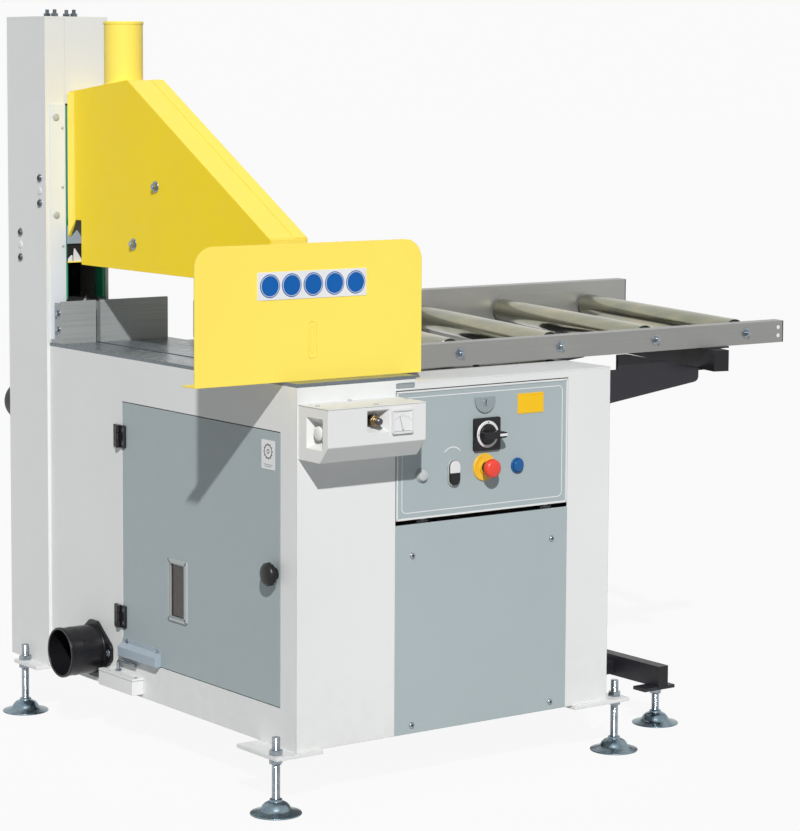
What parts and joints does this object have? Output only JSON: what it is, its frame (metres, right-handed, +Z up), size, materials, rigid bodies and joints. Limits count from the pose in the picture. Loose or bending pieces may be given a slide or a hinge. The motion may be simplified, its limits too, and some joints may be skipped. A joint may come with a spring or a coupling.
{
  "type": "upcut saw",
  "caption": "Upcut crosscut saw: floor cabinet with a rising blade under the table, a lowering yellow hood on a column, two-hand control and a skewed roller table.",
  "frame": {"origin": "on the floor, under the middle of the machine's bounding box", "axes": "+X to the right along the roller table, +Y to the back, +Z up; the operator stands at -Y"},
  "size_m": [1.9808, 1.391, 1.684],
  "materials": {
    "white_paint": "smooth semi-gloss",
    "panel_grey": "smooth semi-gloss",
    "door_grey": "smooth semi-gloss",
    "yellow_paint": "smooth semi-gloss",
    "black_paint": "satin",
    "motor_blue": "satin",
    "machine_grey": "satin",
    "bare_steel": "ground",
    "aluminium": "extruded, dull",
    "zinc": "zinc plated",
    "yellow_zinc": "yellow zinc plated, iridescent",
    "green_plastic": "sliding strip",
    "black_plastic": "moulded",
    "white_plastic": "moulded",
    "red_plastic": "moulded",
    "blue_plastic": "moulded",
    "brass": "turned",
    "rubber": "moulded",
    "glass": "tinted pane"
  },
  "bodies": {
    "frame": {"base": "white_paint", "side_left": "white_paint", "side_right": "white_paint", "rear_wall": "white_paint", "front_frame": "white_paint", "lower_panel": "panel_grey", "cabinet_top": "white_paint", "table_plate": "bare_steel", "table_fence": "aluminium", "shield": "yellow_paint", "shield_strip": "white_plastic", "column_post": "white_paint", "column_shell": "white_paint", "guide_strips": "green_plastic", "fasteners": "zinc", "hood_cylinder": "aluminium", "lower_spout": "black_plastic", "air_unit": "black_plastic", "hand_box": "white_paint", "meter": "white_plastic", "interlock": "white_plastic", "feet": "zinc", "front_rail": "aluminium", "rear_guide": "aluminium", "end_caps": "black_plastic", "axles": "zinc", "beam_supports": "black_paint", "outrigger": "black_paint", "enclosure": "panel_grey", "pedestal": "machine_grey", "lift_cylinder": "aluminium", "hinges": "black_plastic"},
    "hood": {"hood_sides": "yellow_paint", "hood_cover": "yellow_paint", "carriage": "machine_grey"},
    "saw_arm": {"arm": "machine_grey", "motor": "motor_blue", "belts": "rubber"},
    "saw_blade": {"blade": "bare_steel", "spindle": "bare_steel"},
    "drive_pulley": {"motor_pulley": "bare_steel"},
    "lift_piston": {"lift_rod": "bare_steel"},
    "side_door": {"access_door": "door_grey", "door_trim": "black_plastic", "window_glass": "glass"},
    "door_latch": {"door_knob": "black_plastic"},
    "control_panel": {"panel_door": "panel_grey", "panel_fittings": "black_plastic"},
    "main_switch": {"switch_knob": "black_plastic"},
    "emergency_stop": {"estop_head": "red_plastic"},
    "reset_key": {"reset_button": "blue_plastic"},
    "start_key": {"start_button": "white_plastic"},
    "stop_key": {"stop_button": "black_plastic"},
    "hand_key_left": {"left_button": "white_plastic"},
    "hand_key_right": {"right_button": "white_plastic"},
    "feed_valve": {"valve_knob": "brass"},
    "roll_1": {"roller_1": "yellow_zinc"},
    "roll_2": {"roller_2": "yellow_zinc"},
    "roll_3": {"roller_3": "yellow_zinc"},
    "roll_4": {"roller_4": "yellow_zinc"}
  },
  "joints": [
    {"name": "hood_slide", "type": "slide", "parent": "frame", "child": "hood", "axis": [0, 0, 1], "range_m": [-0.17, 0]},
    {"name": "saw_lift", "type": "hinge", "parent": "frame", "child": "saw_arm", "pos_m": [-0.5744, -0.3445, 0.69], "axis": [1, 0, 0], "range_deg": [0, 26.5]},
    {"name": "lift_rod_slide", "type": "slide", "parent": "frame", "child": "lift_piston", "axis": [0, 0, 1], "range_m": [0, 0.1541]},
    {"name": "blade_spin", "type": "hinge", "parent": "saw_arm", "child": "saw_blade", "pos_m": [-0.6694, 0.12272, 0.57998], "axis": [1, 0, 0], "continuous": true},
    {"name": "pulley_spin", "type": "hinge", "parent": "saw_arm", "child": "drive_pulley", "pos_m": [-0.4694, -0.15898, 0.69255], "axis": [1, 0, 0], "continuous": true},
    {"name": "side_door_hinge", "type": "hinge", "parent": "frame", "child": "side_door", "pos_m": [-0.7754, 0.1365, 0.5], "axis": [0, 0, -1], "range_deg": [0, 110]},
    {"name": "door_latch_turn", "type": "hinge", "parent": "side_door", "child": "door_latch", "pos_m": [-0.7694, -0.4995, 0.493], "axis": [-1, 0, 0], "range_deg": [0, 90]},
    {"name": "panel_hinge", "type": "hinge", "parent": "frame", "child": "control_panel", "pos_m": [-0.2804, -0.5755, 0.584], "axis": [1, 0, 0], "range_deg": [0, 85]},
    {"name": "main_switch_turn", "type": "hinge", "parent": "control_panel", "child": "main_switch", "pos_m": [-0.2749, -0.5895, 0.76], "axis": [0, 1, 0], "range_deg": [0, 90]},
    {"name": "emergency_stop_push", "type": "slide", "parent": "control_panel", "child": "emergency_stop", "axis": [0, 1, 0], "range_m": [0, 0.006], "stiffness_N_per_m": 1200},
    {"name": "reset_push", "type": "slide", "parent": "control_panel", "child": "reset_key", "axis": [0, 1, 0], "range_m": [0, 0.004], "stiffness_N_per_m": 600},
    {"name": "start_push", "type": "slide", "parent": "control_panel", "child": "start_key", "axis": [0, 1, 0], "range_m": [0, 0.002], "stiffness_N_per_m": 600},
    {"name": "stop_push", "type": "slide", "parent": "control_panel", "child": "stop_key", "axis": [0, 1, 0], "range_m": [0, 0.002], "stiffness_N_per_m": 600},
    {"name": "left_hand_push", "type": "slide", "parent": "frame", "child": "hand_key_left", "axis": [1, 0, 0], "range_m": [0, 0.008], "stiffness_N_per_m": 700},
    {"name": "right_hand_push", "type": "slide", "parent": "frame", "child": "hand_key_right", "axis": [-1, 0, 0], "range_m": [0, 0.008], "stiffness_N_per_m": 700},
    {"name": "feed_valve_turn", "type": "hinge", "parent": "frame", "child": "feed_valve", "pos_m": [-0.6409, -0.6795, 0.825], "axis": [0, 1, 0], "range_deg": [0, 270]},
    {"name": "roller_spin_1", "type": "hinge", "parent": "frame", "child": "roll_1", "pos_m": [-0.13537, -0.0295, 0.92], "axis": [0.2334, 0.9724, 0], "continuous": true},
    {"name": "roller_spin_2", "type": "hinge", "parent": "frame", "child": "roll_2", "pos_m": [0.15363, -0.0295, 0.92], "axis": [0.2334, 0.9724, 0], "continuous": true},
    {"name": "roller_spin_3", "type": "hinge", "parent": "frame", "child": "roll_3", "pos_m": [0.44263, -0.0295, 0.92], "axis": [0.2334, 0.9724, 0], "continuous": true},
    {"name": "roller_spin_4", "type": "hinge", "parent": "frame", "child": "roll_4", "pos_m": [0.73163, -0.0295, 0.92], "axis": [0.2334, 0.9724, 0], "continuous": true}
  ],
  "couplings": [
    {"joint": "lift_rod_slide", "follows": "saw_lift", "m_per_rad": 0.33092},
    {"joint": "pulley_spin", "follows": "blade_spin", "ratio": 1}
  ]
}
